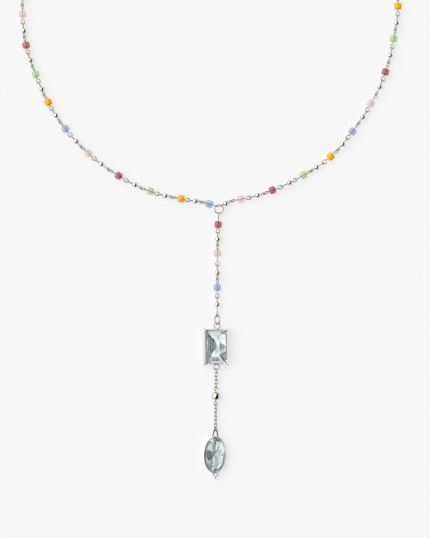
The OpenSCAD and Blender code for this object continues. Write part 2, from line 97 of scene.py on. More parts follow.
# The softening of cut edges, on beads and on the rectangular setting
EDGE_BEVEL = 0.07

# The eyed wires. The eyes at a bead are long, those at a ball round. They are turned about their wires so that each
# hooks the next, and change sides at one place of the loop.
EYE_LEN = 1.6
EYE_W = 1.2
ROUND_EYE = 1.24
EYE_R = 0.18  # radius of the wire
BEAD_HALF = 1.22
BALL_R = 0.95
BIG_BALL_R = 1.6
CLASP_WIRE_R = 0.17
OPEN = 0
SLANT = 57
UPRIGHT = 90
FLIP_PLACE = 12

# The hooks down the drop, with the distance from each wire's upper hook to its bead or ball
DROP_ROWS = [
    (0.6, 40.9, 4.26), (0.55, 36.4, 2.25), (0.45, 29.2, 2.9), (0.5, 24.2, 2.7), (0.4, 17.6, 2.95), (0.45, 11, 2.45),
]

# The joining ring, and where the loop's two ends and the drop hook it: degrees round it and how far in
JOIN_C = Vector((1.05, 49.4, WIRE_Z))
JOIN_R = 1.55
JOIN_LEFT = (122, 0.31)
JOIN_RIGHT = (68, 0.31)
JOIN_BOTTOM = (268, 0.26)

# The rectangular setting: its wire loops, and its claws with their feet above and below
TOP_LOOP_R = 1.05
BOTTOM_LOOP_R = 1.0
LOOP_WIRE_R = 0.21
TOP_FOOT = (4.35, 6.15)
BOTTOM_FOOT = (4.25, -6.35)
CLAW_R = 0.43
CLAW_FOOT_Z = 0.6
CLAW_TIP_R = 0.48
CLAW_TIP_Z = 3.5
CLAW_TIP_OUT = 0.28

# The cut of the rectangular stone's corners and of its seat's
CORNER_CUT = 1.3

# The oval setting's place. What follows is in its own plan.
OVAL_C = Vector((-0.5, -38.8, 0))
OVAL_TURN = -2

# The oval cup from the edge of its back over the lip to the hollow under the stone: how far outside the stone's
# outline each ring of it lies, and at what height
CUP_ROWS = (
    (0.18, 0), (0.3, 0.12), (0.3, 2), (0.27, 2.1), (0.2, 2.17), (0.12, 2.2), (0.1, 2.15), (0.1, 1.4), (-0.6, 1.4),
    (-0.6, 0.5))

# Its bail, whose legs run down to their feet, and its berries
BAIL_R = 0.56
BAIL_Y = 8.36
BAIL_WIRE_R = 0.2
BAIL_FOOT = (0.9, 6.5)
BERRY_R = 0.6
BERRIES = ((-0.33, -7.25), (1.03, -7.25), (0.35, -8.2))


def linear(hex_colour):
    """An sRGB hex colour as linear red, green and blue."""
    parts = [int(hex_colour[i:i + 2], 16) / 255 for i in (0, 2, 4)]
    return tuple(c / 12.92 if c <= 0.04045 else ((c + 0.055) / 1.055) ** 2.4 for c in parts)


def length_prop(name, description, millimetres):
    """A length of the necklace, kept in metres."""
    return FloatProperty(
        name=name, description=description, default=millimetres * MM, min=0, precision=5, unit="LENGTH")


def colour_prop(name, description, hex_colour):
    """A colour of the necklace, given in sRGB and kept linear."""
    return FloatVectorProperty(
        name=name, description=description, default=linear(hex_colour), min=0, max=1, size=3, subtype="COLOR")


class NecklaceSizes(PropertyGroup):
    """The sizes that a user would change."""
    bead_len: length_prop("Bead length", "Length of a glass bead along its wire", 2.44)
    bead_w: length_prop("Bead width", "Width of a glass bead across its flats", 2.6)
    bead_bevel: length_prop("Bead bevel", "Width of the bevels along a bead's long edges", 0.55)
    bead_end: length_prop("Bead end bevel", "Width of the bevels round a bead's ends", 0.4)
    hole_d: length_prop("Hole", "Diameter of the hole through a bead or ball", 0.6)
    ball_d: length_prop("Small ball", "Diameter of a small silver ball", 1.9)
    big_ball_d: length_prop("Large ball", "Diameter of the large silver ball in the drop", 3.2)
    wire_d: length_prop("Eye wire", "Diameter of the eyed wires", 0.35)
    ring_wire_d: length_prop("Ring wire", "Diameter of the jump rings' wire", 0.4)
    chain_wire_d: length_prop("Chain wire", "Diameter of the fine chains' wire", 0.3)
    join_ring_d: length_prop("Joining ring", "Outer diameter of the ring that joins loop and drop", 3.5)
    upper_ring_d: length_prop("Upper ring", "Outer diameter of the ring above the rectangular setting", 3.7)
    small_ring_d: length_prop("Small ring", "Outer diameter of the ring above the oval setting", 1.86)
    rect_w: length_prop("Rectangular stone width", "Width of the rectangular stone", 7.6)
    rect_l: length_prop("Rectangular stone length", "Length of the rectangular stone", 11.9)
    oval_w: length_prop("Oval stone width", "Width of the oval stone", 7.7)
    oval_l: length_prop("Oval stone length", "Length of the oval stone", 12.9)
    clasp_d: length_prop("Clasp", "Diameter of the barrel clasp", 2.6)
    clasp_len: length_prop("Clasp length", "Length of the barrel clasp", 7.6)


class NecklaceColours(PropertyGroup):
    """The colours that a user would change."""
    silver: colour_prop("Silver", "Rhodium-plated metal", "EDEBE8")
    # The balls' silver is greyer than the castings': painted shade, standing in for the darker reflections that the
    # balls show.
    shaded_ball_silver: colour_prop("Barrelled silver", "Balls, plated in the barrel", "D2CEC9")
    # The wire colour is darker than the castings' silver: painted shade for the dark reflections along thin wires,
    # rings, chains and the rectangular setting's claws and loops.
    wire: colour_prop("Wire", "Rhodium-plated wire, not polished", "9F9A94")
    # The bail's near-black is painted shade, for the dark reflections on it.
    bail_painted_shade: colour_prop("Darkened metal", "Bail, antiqued", "2E2A27")
    pink: colour_prop("Rose", "Pale rose glass", "EBD9D2")
    plum: colour_prop("Plum", "Plum glass", "B87872")
    green: colour_prop("Green", "Pale green glass", "C3DDB0")
    amber: colour_prop("Amber", "Amber glass", "F0B400")
    blue: colour_prop("Blue", "Sky blue glass", "B0C3DD")
    crystal: colour_prop("Crystal", "Clear crystal with a cool cast", "EAF2F3")
    # The foil's dark and pale colours are the ends of the painted reflections on the stones' facets.
    foil_painted_dark: colour_prop("Dark facet", "Foil where a facet turns its light away", "34494C")
    foil_painted_pale: colour_prop("Pale facet", "Foil where a facet returns its light", "FFFFFF")
    floor: colour_prop("Floor", "Pale floor", "F6F6F6")


def mm(value):
    """A kept length in millimetres."""
    return value / MM


# Places, in millimetres

def radius_at(deg):
    """The loop's radius some degrees round from the drop, either way."""
    side = min(abs(deg), 360 - abs(deg))
    flank = math.sin(math.radians(2 * (side - FLANK_FROM))) ** 2 if FLANK_FROM < side < FLANK_TO else 0
    return LOOP_R + POINT_DEPTH * math.exp(-side / POINT_REACH) - FLANK_IN * flank


def on_loop(deg, out):
    r, a = radius_at(deg) + out, math.radians(deg)
    return Vector((LOOP_X + r * math.sin(a), LOOP_Y - r * math.cos(a), WIRE_Z))


def bead_row(k):
    """The row of bead k. Those behind the neck lie evenly, on the plain loop."""
    last = len(BEAD_ROWS) - 1
    return BEAD_ROWS[k] if k <= last else (BEAD_ROWS[last][0] + (k - last) * HIDDEN_STEP, 0.5, 0)


def bead_place(k):
    deg, _, out = bead_row(k)
    return on_loop(deg, out)


def ball_place(k):
    """The place of the ball between bead k and the next."""
    (deg, share, out), (next_deg, _, next_out) = bead_row(k), bead_row(k + 1)
    return on_loop(deg + share * (next_deg - deg), out + share * (next_out - out))


def tint_of(k):
    return TINTS[(k if k < CLASP_PLACE else k + 4 * BEAD_PLACES) % len(TINTS)]


class Reach:
    """How far each kind of wire reaches from its bead or ball to its hook."""
    hook = EYE_R + WIRE_GAP / 2
    bead = BEAD_HALF + SEAT_GAP + EYE_LEN + EYE_R - hook
    ball = BALL_R + SEAT_GAP + ROUND_EYE + EYE_R - hook
    big_ball = BIG_BALL_R + SEAT_GAP + ROUND_EYE + EYE_R - hook


def hook_between(p, q, p_reach, q_reach):
    spare = (q - p).length - p_reach - q_reach
    return p + (q - p).normalized() * (p_reach + spare / 2)


def on_join_ring(deg, inward):
    a = math.radians(deg)
    return JOIN_C + (JOIN_R - inward) * Vector((math.cos(a), math.sin(a), 0))


def left_of_bead(k):
    if k == CLASP_PLACE + 1:
        return bead_place(k) + (bead_place(CLASP_PLACE) - bead_place(k)).normalized() * Reach.bead
    return right_of_ball((k + BEAD_PLACES - 1) % BEAD_PLACES)


def right_of_bead(k):
    if k == DROP_PLACE:
        return on_join_ring(*JOIN_LEFT)
    return hook_between(bead_place(k), ball_place(k), Reach.bead, Reach.ball)


def left_of_ball(k):
    return on_join_ring(*JOIN_RIGHT) if k == DROP_PLACE else right_of_bead(k)


def right_of_ball(k):
    if k == CLASP_PLACE - 1:
        return ball_place(k) + (bead_place(CLASP_PLACE) - ball_place(k)).normalized() * Reach.ball
    return hook_between(ball_place(k), bead_place(k + 1), Reach.ball, Reach.bead)


def flat_right(k):
    return k < FLIP_PLACE or k > CLASP_PLACE


def bead_turns(k):
    """The turns of the left and the right eye of the wire through bead k."""
    if flat_right(k):
        return SLANT, UPRIGHT if k == DROP_PLACE else OPEN
    return UPRIGHT if k == FLIP_PLACE else OPEN, SLANT


def ball_turns(k):
    if flat_right(k):
        return UPRIGHT, OPEN if k == FLIP_PLACE - 1 else SLANT
    return SLANT, UPRIGHT


def drop_hook(i):
    if i == 0:
        return on_join_ring(*JOIN_BOTTOM)
    x, y, _ = DROP_ROWS[i - 1]
    return Vector((x, y, LIFT_Z if i == len(DROP_ROWS) else WIRE_Z))


def seat_on(a, b, p, reach):
    """The point of the wire from a to b that is as far from a as p is, if the piece's reach allows."""
    run = (b - a).length
    return a + (b - a).normalized() * min(max((p - a).length, reach), run - reach)


def placed(x, y, z, degrees=0, axis="Z"):
    """The matrix that turns a shape about an axis and then carries it to a place."""
    return Matrix.Translation((x, y, z)) @ Matrix.Rotation(math.radians(degrees), 4, axis)


def along(p, q):
    """The matrix that carries the x axis to the line from p to q."""
    v = q - p
    yaw = Matrix.Rotation(math.atan2(v.y, v.x), 4, "Z")
    pitch = Matrix.Rotation(-math.asin(v.z / v.length), 4, "Y")
    return Matrix.Translation(p) @ yaw @ pitch


def on_oval(x, y):
    """A point of the oval drop's own plan, where it lies, at the height of the wires."""
    return placed(*OVAL_C, OVAL_TURN) @ Vector((x, y, WIRE_Z))


UPPER_RING_R = 1.65
UPPER_RING_C = Vector((0.42, DROP_ROWS[-1][1] + 0.26 - UPPER_RING_R, LIFT_Z))
TOP_LOOP_C = Vector((0.36, UPPER_RING_C.y - UPPER_RING_R + 0.55 - TOP_LOOP_R, LIFT_Z))
BOTTOM_LOOP_C = Vector((0.15, -7.3, LIFT_Z))
UPPER_CHAIN = (
    Vector((BOTTOM_LOOP_C.x, BOTTOM_LOOP_C.y - BOTTOM_LOOP_R + LOOP_WIRE_R + WIRE_GAP / 2, LIFT_Z)),
    Vector((-0.04, -14.7, LIFT_Z)))
BIG_BALL_C = Vector((-0.07, -17.8, LIFT_Z))
SMALL_RING_R = 0.75
SMALL_RING_Y = BAIL_Y + BAIL_R - BAIL_WIRE_R - EYE_R - WIRE_GAP + SMALL_RING_R
LOWER_CHAIN = (Vector((-0.10, -20.9, LIFT_Z)), on_oval(0, SMALL_RING_Y + SMALL_RING_R - Reach.hook))
UPPER_LINKS = 5
UPPER_LINK_TURN = 75
LOWER_LINKS = 6
LOWER_LINK_TURN = 60
CHAIN_LINK_W = 0.88

# Painted reflections: the flashes that the two stones show where their facets mirror each other, painted on the
# foil as shares of light. Each row: the painted share of light, from dark to pale, then its corners in the stone's
# own plan, counter-clockwise.
RECT_PAINTED_FLASHES = (
    # the dark lines along the upper and lower edges
    (0, (2.2, 5.15), (2.1, 5.5), (-2.6, 5.5), (-2.7, 5.15)),
    (0, (2.7, -5.2), (-2.5, -5.2), (-2.4, -5.6), (2.6, -5.6)),
    # the bright head, with the dark corner and edge on its right
    (0.9, (1.7, 5.15), (-2.2, 5.15), (-1.8, 4.1), (1.3, 4.1)),
    (0.6, (1.3, 4.1), (-0.9, 4.1), (-0.5, 3.4), (1, 3.4)),
    (0.1, (2.9, 4), (2.6, 4.8), (1.5, 4.7), (1.7, 4.2)),
    (0.88, (3, 4.2), (1.6, 4.4), (1.2, 3), (2.1, 0.9), (3, 0.9)),
    (0.62, (2.6, 3.4), (2.1, 3.3), (2.2, 2.4), (2.6, 2.4)),
    (0.05, (3.6, 4.3), (2.9, 4.6), (3, 1), (3.5, 0.6)),
    # the hourglass in the middle
    (1, (1.45, 3.6), (-0.75, 3.9), (0.35, 0.6), (1.15, 0.7)),
    (0.6, (1.3, 3.8), (0.2, 3.8), (0.6, 2.3), (1, 2.3)),
    (0.68, (1.2, 0.7), (0.3, 0.6), (-1.2, -2.6), (0.2, -3.4), (1.6, -2.5)),
    (0.5, (1, -0.4), (0.1, -0.3), (-0.5, -2.2), (0.9, -2)),
    (1, (-0.5, -1.6), (-0.9, -1.7), (-1.8, -3.4), (-1, -3.4)),
    (1, (1.2, -3), (-0.9, -3), (-1.6, -3.5), (0.6, -3.5)),
    # the dark lens on the left, with its white streak and the pale strip beside it
    (0.85, (-2.4, 3), (-2.6, 3.4), (-2.75, 0.8), (-2.65, -1.6), (-2.4, -2), (-2.35, 0.5)),
    (0.12, (-2.2, 4.1), (-2.3, 3), (-2.3, -1.2), (-1.7, -2.4), (-1, -1.8), (0, -0.8), (0.2, 0.4),
     (-0.3, 1.8), (-1.4, 3.2)),
    (0.3, (-0.15, 1.2), (-1.2, 1.8), (-1.2, -1.2), (-0.15, -0.7)),
    (0.5, (-1.5, 2.2), (-1.75, 2.5), (-1.8, -0.2), (-1.65, -1.7), (-1.5, -1.3)),
    (1, (-1.5, 4.3), (-2.1, 4.4), (-1, 2.9), (-0.6, 3.2)),
    (0, (-2, 4.2), (-2.5, 3.9), (-2.4, 3.3), (-1.9, 3.4)),
    (0, (-0.7, 2.7), (-1.6, 3), (-0.9, 1.9), (-0.5, 1.9)),
    (1, (-2.5, 1), (-2.9, 2.6), (-2.9, 0.8), (-2.6, 0.6)),
    (0, (-2.95, 4.4), (-3.5, 4.3), (-3.5, -0.2), (-2.95, 0.4)),
    (0.42, (-2.7, -0.4), (-3.75, -0.8), (-3.75, -4.6), (-2.7, -4.6)),
    # the dark diamond on the right, with its white corner
    (0.1, (1.7, 1.4), (1.2, 0.1), (1.7, -1.7), (2.6, 0.2)),
    (0.35, (2.3, 0.5), (1.75, 0.6), (1.7, -0.3), (2.2, -0.1)),
    (1, (3, 1), (2, 1.6), (2.7, 0.4)),
    (0.6, (3.1, 0), (2.2, -0.8), (1.8, -1.9), (3.1, -1.9)),
    # the dark foot on the right and the broken band along the lower end
    (0.12, (3.6, -1.6), (2.5, -1.9), (1.4, -3), (1.7, -4.8), (3.6, -4.8)),
    (0.05, (3.6, 0.3), (3.1, 0.2), (3, -2.4), (3.6, -2.4)),
    (0.34, (3, -2.7), (2.1, -2.9), (2.3, -4.2), (3, -4.2)),
    (0, (2.3, -3.6), (1.6, -3.9), (2.2, -4.5), (2.5, -4.4)),
    (0.4, (0.9, -3.7), (-1.8, -3.7), (-1.8, -4.7), (1.2, -4.7)),
    (0.12, (0.4, -3.9), (-0.2, -4.6), (1.3, -4.7)),
    (0.15, (-0.9, -3.9), (-1.5, -4.6), (-0.2, -4.6)),
    (1, (1, -3.6), (0.9, -3.9), (2.2, -4.7), (2.2, -4.5)),
    (0.95, (2.8, -4.8), (-1.9, -4.8), (-1.9, -5.2), (2.8, -5.2)),
    (0.08, (-1.95, -3.1), (-2.3, -3.4), (-2.1, -3.9), (-1.8, -3.6)),
)
OVAL_PAINTED_FLASHES = (
    # the dark lozenge on the left and the white triangles round it
    (0.08, (-2.75, 1.4), (-3.6, 1.6), (-3.7, -1.8), (-2.9, -1.6)),
    (0.83, (-1, 3.2), (-1.9, 3.2), (-2.2, 1.7), (-0.9, 1)),
    (0.74, (-1.9, 3), (-2.9, 1), (-2.6, 0.8), (-2.1, 1.7)),
    (0.14, (-2.1, 1.7), (-2.7, 0.3), (-1.8, -2.3), (-0.95, -1.1), (-0.6, 0.4)),
    (0, (-0.75, -0.3), (-1.9, -1.2), (-1.8, -2.3), (-0.95, -1.1)),
    (0.83, (-2.4, -1.2), (-2.9, -1), (-1.9, -3.3), (-1.4, -2.8)),
    (0.29, (-0.5, -1.8), (-1.2, -2.4), (-1.3, -3.9), (-0.3, -4)),
    # the dark star in the middle
    (0.33, (1.7, -0.7), (0.6, -0.6), (0.1, -1.4), (0.1, -4.4), (1, -4.4)),
    (0.28, (1.2, -1.4), (0.7, -1.2), (0.6, -3.6), (0.9, -3.6)),
    (0.05, (0.15, 4.4), (-0.25, 4.4), (-0.15, 1), (0.12, 1)),
    (0.83, (0.95, 4.5), (0.3, 4.5), (0.25, 1.4), (0.75, 1.7)),
    (0.22, (1.3, 3), (0.95, 2.9), (0.8, 1.6), (1.2, 1.5)),
    (0.14, (1.3, 1.8), (0.8, 1.8), (-0.7, 0), (-0.3, -0.4)),
    (0.14, (0.35, -0.1), (0, -0.4), (0.5, -1.4), (0.85, -1.1)),
    (0.79, (-0.15, -0.6), (-0.5, -0.8), (-0.45, -3.6), (-0.15, -3.6)),
    (0.41, (0.15, -1), (-0.12, -1), (-0.12, -3.4), (0.15, -3.4)),
    # the white right side
    (0.83, (2.3, 4.4), (1.5, 4.9), (1.3, 3.6), (1.9, 0.3), (2.7, 0.2), (2.8, 2.6)),
    (0.29, (1.9, 1.4), (1.5, 2.2), (1.55, 0.2), (2, -0.4)),
    (0.12, (3.4, 0.2), (2.9, 0.4), (2.8, -1.8), (3.3, -1.6)),
    (0.83, (2.7, -0.2), (2.1, -0.3), (1.7, -2.6), (2.3, -2.6)),
    (0.83, (2.3, -2.6), (1.7, -2.6), (0.9, -4.9), (1.5, -4.9)),
    # the head and the foot
    (0.08, (1.3, 5.2), (-0.3, 5.5), (-0.3, 4.7), (1.1, 4.6)),
    (0.15, (1.9, 4.8), (1.3, 5), (1.3, 4.3), (1.8, 4.1)),
    (0.83, (-0.6, 5.2), (-1.4, 5), (-1.3, 4.4), (-0.7, 4.4)),
    (0.1, (-1.6, 4.6), (-2.1, 4), (-1.9, 3.7), (-1.4, 4.3)),
    (0.83, (-0.3, -4.2), (-0.9, -5.6), (-0.4, -5.7), (0, -4.6)),
    (0.08, (1.2, -4.9), (0.1, -4.9), (0.1, -5.6), (1.1, -5.5)),
    # the dark lower rim
    (0, (1.43, -5.14), (1.53, -5.5), (2.33, -4.64), (2.18, -4.35)),
    (0, (2.18, -4.35), (2.33, -4.64), (2.96, -3.48), (2.78, -3.26)),
    (0, (2.78, -3.26), (2.96, -3.48), (3.36, -2.27), (3.14, -2.13)),
    (0, (-1.43, -5.14), (-2.27, -4.22), (-2.42, -4.5), (-1.53, -5.5)),
)


# Shaping

def new_verts(bm, known):
    """The vertices that were added since there were known of them."""
    bm.verts.ensure_lookup_table()
    return bm.verts[known:]


def place(bm, known, matrix):
    bmesh.ops.transform(bm, matrix=matrix, verts=new_verts(bm, known))


def copy_in(bm, unit_mesh, matrix):
    """Adds a copy of a finished shape."""
    known = len(bm.verts)
    bm.from_mesh(unit_mesh)
    place(bm, known, matrix)


def of_kind(geom, *kinds):
    return [g for g in geom if isinstance(g, kinds)]


def wire_start(bm, wire_r, sides, matrix, capped=True):
    """The round end of a wire, which the moves below draw out."""
    verts = bmesh.ops.create_circle(bm, cap_ends=capped, segments=sides, radius=wire_r, matrix=matrix)["verts"]
    edges = {e for v in verts for e in v.link_edges}
    return list(verts) + list(edges)


def pull(bm, ring, move):
    """Draws a wire's end straight out."""
    geom = bmesh.ops.extrude_edge_only(bm, edges=of_kind(ring, BMEdge))["geom"]
    verts = of_kind(geom, BMVert)
    bmesh.ops.translate(bm, vec=move, verts=verts)
    known = set(verts)
    return verts + [e for e in {e for v in verts for e in v.link_edges} if known.issuperset(e.verts)]


def bend(bm, ring, centre, degrees, steps):
    """Bends a wire's end round an upright axis."""
    geom = bmesh.ops.spin(
        bm, geom=ring, cent=centre, axis=(0, 0, 1), angle=math.radians(degrees), steps=steps,
        use_duplicate=False)["geom_last"]
    return of_kind(geom, BMVert, BMEdge)


def cap(bm, ring):
    bmesh.ops.edgeloop_fill(bm, edges=of_kind(ring, BMEdge))


def block(bm, size, height=0):
    """A block, with its middle at some height."""
    bmesh.ops.create_cube(bm, size=1, matrix=placed(0, 0, height) @ Matrix.Diagonal((*size, 1)))


def bevel(bm, edges, offset, segments=1):
    bmesh.ops.bevel(
        bm, geom=edges, offset=offset, segments=segments, offset_type="OFFSET", profile=0.5, affect="EDGES",
        material=-1)


def eye_half(bm, length, width, wire_r, pin):
    """Half an eyed wire: pin from x = pin to the eye, whose far end lies past the hook at the origin."""
    r, tight = width / 2, 0.2
    neck = length - Reach.hook
    ring = wire_start(bm, wire_r, 8, placed(pin, 0, 0, 90, "Y"))
    ring = pull(bm, ring, (neck + tight - pin, 0, 0))
    ring = bend(bm, ring, (neck + tight, tight, 0), -90, 3)
    ring = bend(bm, ring, (neck - r + tight, tight, 0), 90, 4)
    ring = pull(bm, ring, (width - length - tight, 0, 0))
    ring = bend(bm, ring, (r - Reach.hook, 0, 0), 180, 10)
    if length > width:
        ring = pull(bm, ring, (length - width, 0, 0))
    ring = bend(bm, ring, (neck - r, 0, 0), 52, 4)
    cap(bm, ring)


def eyed_wire(bm, p, q, length, width, wire_r, p_turn, q_turn):
    """A wire from hook p to hook q, its eyes turned about it."""
    reach = (q - p).length
    where = along(p, q)
    for turn, flip in ((p_turn, Matrix()), (q_turn, placed(reach, 0, 0, 180))):
        known = len(bm.verts)
        eye_half(bm, length, width, wire_r, reach / 2)
        place(bm, known, where @ flip @ placed(0, 0, 0, turn, "X"))


def wire_ring(bm, r, wire_r, matrix, joint=5):
    """A jump ring, round the z axis, with a hairline joint some degrees wide."""
    known = len(bm.verts)
    ring = wire_start(bm, wire_r, 10, placed(r, 0, 0, 90, "X"), capped=joint > 0)
    ring = bend(bm, ring, (0, 0, 0), 360 - joint, 40)
    if joint:
        cap(bm, ring)
    place(bm, known, matrix)


def chain_link(bm, length, width, wire_r, matrix):
    """A soldered link from the origin along x."""
    known = len(bm.verts)
    r = width / 2
    ring = wire_start(bm, wire_r, 8, placed(length / 2, -r, 0, 90, "Y"), capped=False)
    ring = pull(bm, ring, (length / 2 - r, 0, 0))
    ring = bend(bm, ring, (length - r, 0, 0), 180, 9)
    ring = pull(bm, ring, (width - length, 0, 0))
    ring = bend(bm, ring, (r, 0, 0), 180, 9)
    pull(bm, ring, (length / 2 - r, 0, 0))
    place(bm, known, matrix)


def lathe(bm, profile, steps, matrix=Matrix(), closed=False):
    """Spins a profile of (x, r) rows round the x axis."""
    known = len(bm.verts)
    verts = [bm.verts.new((x, r, 0)) for x, r in profile]
    ends = verts[1:] + verts[:1] if closed else verts[1:]
    edges = [bm.edges.new(pair) for pair in zip(verts, ends)]
    bmesh.ops.spin(
        bm, geom=verts + edges, cent=(0, 0, 0), axis=(1, 0, 0), angle=math.tau, steps=steps, use_merge=True)
    place(bm, known, matrix)


def arc(r, start, end, steps, x=0):
    """Rows of a round profile about the point x of the axis, from one angle to another in degrees."""
    angles = [math.radians(start + (end - start) * i / steps) for i in range(steps + 1)]
    return [(x - r * math.cos(a), max(0, r * math.sin(a))) for a in angles]


def drilled_ball(bm, d, hole_d, steps, matrix):
    start = math.degrees(math.asin(hole_d / d))
    lathe(bm, arc(d / 2, start, 180 - start, steps // 2), steps, matrix, closed=True)


def bead_shape(sizes):
    """A glass bead along x: a short block with bevelled and slightly softened edges, drilled through."""
    bm = bmesh.new()
    length, width = mm(sizes.bead_len), mm(sizes.bead_w)
    block(bm, (length, width, width))
    bevel(bm, [e for e in bm.edges if abs(e.verts[0].co.x - e.verts[1].co.x) > 0.1], mm(sizes.bead_bevel))
    rims = [e for e in bm.edges if abs(e.verts[0].co.x + e.verts[1].co.x) > length - 0.01]
    bevel(bm, rims, mm(sizes.bead_end))
    bevel(bm, bm.edges[:], EDGE_BEVEL, 2)
    ends = [f for f in bm.faces if abs(f.calc_center_median().x) > length / 2 - 0.01 and f.calc_area() > 1]
    bmesh.ops.inset_individual(bm, faces=ends, thickness=0.25)
    rings = [e for f in ends for e in f.edges]
    bmesh.ops.subdivide_edges(bm, edges=rings, cuts=1)
    hole_r = mm(sizes.hole_d) / 2
    for face in ends:
        for v in face.verts:
            out = Vector((0, v.co.y, v.co.z)).normalized() * hole_r
            v.co = (v.co.x, out.y, out.z)
    rings = [e for f in ends for e in f.edges]
    bmesh.ops.delete(bm, geom=ends, context="FACES_ONLY")
    bmesh.ops.bridge_loops(bm, edges=rings)
    mesh = bpy.data.meshes.new("bead_shape")
    bm.to_mesh(mesh)
    bm.free()
    return mesh


def paint_flash(face, painted_flash_layer, painted_flash):
    for loop in face.loops:
        loop[painted_flash_layer] = (painted_flash, painted_flash, painted_flash, 1)


def cut_facets(bm, rows, painted_flash_layer):
    """Grinds facets as a cutter does. Each row: degrees round the stone, slope from flat, distance out and height
    of a point of the facet, and for one of the foiled pavilion its painted share of light, a painted reflection
    from dark to pale."""
    for azimuth, slope, reach, height, *below in rows:
        a, s = math.radians(azimuth), math.radians(slope)
        up = -math.cos(s) if below else math.cos(s)
        normal = Vector((math.cos(a) * math.sin(s), math.sin(a) * math.sin(s), up))
        point = Vector((reach * math.cos(a), reach * math.sin(a), height))
        geom = bm.verts[:] + bm.edges[:] + bm.faces[:]
        cut = bmesh.ops.bisect_plane(bm, geom=geom, dist=1e-5, plane_co=point, plane_no=normal, clear_outer=True)
        edges = of_kind(cut["geom_cut"], BMEdge)
        if len(edges) < 3:
            continue
        for face in bmesh.ops.edgeloop_fill(bm, edges=edges)["faces"]:
            face.material_index = 1 if below else 0
            paint_flash(face, painted_flash_layer, *(below or [1]))


def paint_flashes(bm, rows, painted_flash_layer):
    """Paints a cut stone's flashes on its pavilion, as painted reflections."""
    for painted_flash, *outline in rows:
        inside = [f for f in bm.faces if f.material_index == 1]
        for p, q in zip(outline, outline[1:] + outline[:1]):
            point, normal = Vector((*p, 0)), Vector((q[1] - p[1], p[0] - q[0], 0))
            geom = list({g for f in inside for g in (f, *f.edges, *f.verts)})
            cut = bmesh.ops.bisect_plane(bm, geom=geom, dist=1e-4, plane_co=point, plane_no=normal)
            inside = [f for f in of_kind(cut["geom"], BMFace) if (f.calc_center_median() - point).dot(normal) < 0]
        for face in inside:
            paint_flash(face, painted_flash_layer, painted_flash)


def add_object(name, data):
    item = bpy.data.objects.new(name, data)
    bpy.context.scene.collection.objects.link(item)
    return item


def add_shape(name, bm, materials):
    mesh = bpy.data.meshes.new(name)
    bm.to_mesh(mesh)
    bm.free()
    for material in materials:
        mesh.materials.append(material)
    return add_object(name, mesh)


def finish_piece(name, bm, materials, nodes, smooth_under=35):
    """Makes a piece of a shape in millimetres, and hides the solids that it stands for."""
    bmesh.ops.remove_doubles(bm, verts=bm.verts, dist=1e-4)
    bmesh.ops.recalc_face_normals(bm, faces=bm.faces)
    bmesh.ops.transform(bm, matrix=Matrix.Scale(MM, 4), verts=bm.verts)
    if not bm.faces:
        raise RuntimeError(f"{name} has no faces")
    for face in bm.faces:
        face.smooth = smooth_under > 0
    piece = add_shape(name, bm, materials)
    if smooth_under > 0:
        piece.data.set_sharp_from_angle(angle=math.radians(smooth_under))
    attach(piece, "root")
    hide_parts(*nodes)


# Materials

def add_node(tree, kind, settings=None, links=None):
    """Adds a node, sets its properties and inputs, and links inputs to other nodes' outputs."""
    node = tree.nodes.new(f"ShaderNode{kind}")
    for key, value in (settings or {}).items():
        if hasattr(node, key) and key not in node.inputs:
            setattr(node, key, value)
        else:
            node.inputs[key].default_value = value
    for key, (source, output) in (links or {}).items():
        tree.links.new(source.outputs[output], node.inputs[key])
    return node


def new_material(name):
    material = bpy.data.materials.get(name)
    if material:
        return material, None
    material = bpy.data.materials.new(name)
    material.use_nodes = True
    material.node_tree.nodes.clear()
    return material, material.node_tree


def output(tree, shader):
    add_node(tree, "OutputMaterial", links={"Surface": (shader, 0)})


def lit_through(tree, glass, tint):
    """Lets the lamps' light pass straight through a glass, tinted, to what lies in it and under it."""
    clear = add_node(tree, "BsdfTransparent", {"Color": (*tint, 1)})
    path = add_node(tree, "LightPath")
    return add_node(tree, "MixShader", links={0: (path, "Is Shadow Ray"), 1: (glass, 0), 2: (clear, 0)})


def grain(tree, size, **settings):
    """Noise on a piece, in grains of some millimetres."""
    where = add_node(tree, "TexCoord")
    return add_node(tree, "TexNoise", {"Scale": 1 / (size * MM), **settings}, {"Vector": (where, "Object")})


def blend(tree, share, a, b):
    """Blends two colours by another node's share."""
    return add_node(tree, "Mix", {"data_type": "RGBA", "A": (*a, 1), "B": (*b, 1)}, {0: (share, "Fac")})


def plated(tree, colour, wear, gloss, satin, links=None):
    """Plated metal, which goes from gloss to satin with its wear."""
    roughness = add_node(
        tree, "MapRange", {"From Min": 0.3, "From Max": 0.7, "To Min": gloss, "To Max": satin},
        {"Value": (wear, "Fac")})
    metal = add_node(
        tree, "BsdfPrincipled", {"Base Color": (*colour, 1), "Metallic": 1},
        {"Roughness": (roughness, "Result"), **(links or {})})
    output(tree, metal)


def polished_rhodium(colour, name="polished_rhodium"):
    """Brass castings and balls, barrel-polished and rhodium-plated: a bright, slightly warm mirror with a faint
    tumbled ripple. The balls take a greyer colour than the castings as painted shade, for the darker reflections on
    them."""
    material, tree = new_material(name)
    if tree:
        ripple = grain(tree, 0.8, Detail=3, Roughness=0.6)
        bump = add_node(tree, "Bump", {"Strength": 0.12, "Distance": 0.02 * MM}, {"Height": (ripple, "Fac")})
        plated(tree, colour, ripple, 0.04, 0.1, {"Normal": (bump, "Normal")})
    return material


def painted_shade_metal(colour, name="painted_shade_metal"):
    """Drawn brass wire under the same plating, with a satin that varies along its length. Its colour is greyer than
    the polished castings as painted shade, for the dark reflections along thin wire and on the claws. The oval
    setting's bail takes a near-black colour, painted shade for the dark reflections on it."""
    material, tree = new_material(name)
    if tree:
        plated(tree, colour, grain(tree, 0.5, Detail=2), 0.08, 0.18)
    return material


